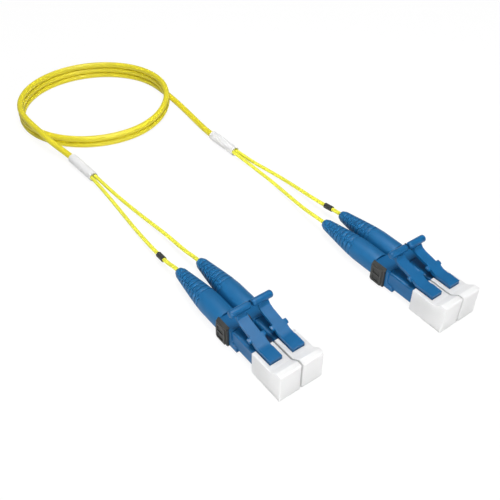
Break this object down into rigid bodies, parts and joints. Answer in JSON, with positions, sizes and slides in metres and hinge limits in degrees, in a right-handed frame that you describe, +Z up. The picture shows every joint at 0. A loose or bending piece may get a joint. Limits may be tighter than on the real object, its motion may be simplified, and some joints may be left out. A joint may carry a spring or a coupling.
{
  "type": "lc duplex fibre patch cord",
  "caption": "Duplex fibre patch cord with square-nosed latching plugs, tapered boots, dust caps and a coiled round trunk that splits into thin legs.",
  "frame": {"origin": "on the floor, under the middle of the first duplex connector's bounding box", "axes": "+X along the plugs towards their noses, +Y towards the second connector, +Z up"},
  "size_m": [0.1729, 0.056, 0.0121],
  "materials": {
    "blue_plastic": "satin moulded",
    "blue_boot": "soft matte",
    "white_cap": "satin, slightly translucent",
    "white_sleeve": "satin",
    "black_plastic": "matte",
    "yellow_jacket": "smooth jacket",
    "zirconia": "polished ceramic",
    "nickel_flange": "nickel plated",
    "spring_steel": "bright wire",
    "brass_backbone": "nickel plated brass",
    "crimp_metal": "crimped"
  },
  "bodies": {
    "patch_cord": {"a1_plug_housing": "blue_plastic", "a1_backbone": "brass_backbone", "a1_crimp_sleeve": "crimp_metal", "a1_boot": "blue_boot", "a1_fibre_buffer": "yellow_jacket", "a1_spring": "spring_steel", "a2_plug_housing": "blue_plastic", "a2_backbone": "brass_backbone", "a2_crimp_sleeve": "crimp_metal", "a2_boot": "blue_boot", "a2_fibre_buffer": "yellow_jacket", "a2_spring": "spring_steel", "a_duplex_clip": "black_plastic", "a_breakout_sleeve": "white_sleeve", "a_marker_ring": "black_plastic", "b1_plug_housing": "blue_plastic", "b1_backbone": "brass_backbone", "b1_crimp_sleeve": "crimp_metal", "b1_boot": "blue_boot", "b1_fibre_buffer": "yellow_jacket", "b1_spring": "spring_steel", "b2_plug_housing": "blue_plastic", "b2_backbone": "brass_backbone", "b2_crimp_sleeve": "crimp_metal", "b2_boot": "blue_boot", "b2_fibre_buffer": "yellow_jacket", "b2_spring": "spring_steel", "b_duplex_clip": "black_plastic", "b_breakout_sleeve": "white_sleeve", "b_marker_ring": "black_plastic", "cord_leg_a1": "yellow_jacket", "cord_leg_a2": "yellow_jacket", "cord_leg_b1": "yellow_jacket", "cord_leg_b2": "yellow_jacket", "cord_trunk_a": "yellow_jacket", "cord_trunk_b": "yellow_jacket", "cord_coil": "yellow_jacket"},
    "a1_latch": {"a1_latch_arm": "blue_plastic"},
    "a1_ferrule_set": {"a1_ferrule": "zirconia", "a1_ferrule_flange": "nickel_flange"},
    "a1_cap": {"a1_dust_cap": "white_cap"},
    "a2_latch": {"a2_latch_arm": "blue_plastic"},
    "a2_ferrule_set": {"a2_ferrule": "zirconia", "a2_ferrule_flange": "nickel_flange"},
    "a2_cap": {"a2_dust_cap": "white_cap"},
    "b1_latch": {"b1_latch_arm": "blue_plastic"},
    "b1_ferrule_set": {"b1_ferrule": "zirconia", "b1_ferrule_flange": "nickel_flange"},
    "b1_cap": {"b1_dust_cap": "white_cap"},
    "b2_latch": {"b2_latch_arm": "blue_plastic"},
    "b2_ferrule_set": {"b2_ferrule": "zirconia", "b2_ferrule_flange": "nickel_flange"},
    "b2_cap": {"b2_dust_cap": "white_cap"}
  },
  "joints": [
    {"name": "a1_latch_press", "type": "hinge", "parent": "patch_cord", "child": "a1_latch", "pos_m": [0.01665, -0.00313, 0.0065], "axis": [0, -1, 0], "range_deg": [0, 8], "stiffness_Nm_per_rad": 0.3},
    {"name": "a1_ferrule_float", "type": "slide", "parent": "patch_cord", "child": "a1_ferrule_set", "axis": [-1, 0, 0], "range_m": [0, 0.0008], "stiffness_N_per_m": 2500, "springref_m": -0.002, "deforming": ["a1_spring"]},
    {"name": "a1_cap_pull", "type": "slide", "parent": "patch_cord", "child": "a1_cap", "axis": [1, 0, 0], "range_m": [0, 0.014]},
    {"name": "a2_latch_press", "type": "hinge", "parent": "patch_cord", "child": "a2_latch", "pos_m": [0.01665, 0.00313, 0.0065], "axis": [0, -1, 0], "range_deg": [0, 8], "stiffness_Nm_per_rad": 0.3},
    {"name": "a2_ferrule_float", "type": "slide", "parent": "patch_cord", "child": "a2_ferrule_set", "axis": [-1, 0, 0], "range_m": [0, 0.0008], "stiffness_N_per_m": 2500, "springref_m": -0.002, "deforming": ["a2_spring"]},
    {"name": "a2_cap_pull", "type": "slide", "parent": "patch_cord", "child": "a2_cap", "axis": [1, 0, 0], "range_m": [0, 0.014]},
    {"name": "b1_latch_press", "type": "hinge", "parent": "patch_cord", "child": "b1_latch", "pos_m": [0.02385, 0.03968, 0.0065], "axis": [0, -1, 0], "range_deg": [0, 8], "stiffness_Nm_per_rad": 0.3},
    {"name": "b1_ferrule_float", "type": "slide", "parent": "patch_cord", "child": "b1_ferrule_set", "axis": [-1, 0, 0], "range_m": [0, 0.0008], "stiffness_N_per_m": 2500, "springref_m": -0.002, "deforming": ["b1_spring"]},
    {"name": "b1_cap_pull", "type": "slide", "parent": "patch_cord", "child": "b1_cap", "axis": [1, 0, 0], "range_m": [0, 0.014]},
    {"name": "b2_latch_press", "type": "hinge", "parent": "patch_cord", "child": "b2_latch", "pos_m": [0.02385, 0.04593, 0.0065], "axis": [0, -1, 0], "range_deg": [0, 8], "stiffness_Nm_per_rad": 0.3},
    {"name": "b2_ferrule_float", "type": "slide", "parent": "patch_cord", "child": "b2_ferrule_set", "axis": [-1, 0, 0], "range_m": [0, 0.0008], "stiffness_N_per_m": 2500, "springref_m": -0.002, "deforming": ["b2_spring"]},
    {"name": "b2_cap_pull", "type": "slide", "parent": "patch_cord", "child": "b2_cap", "axis": [1, 0, 0], "range_m": [0, 0.014]}
  ]
}
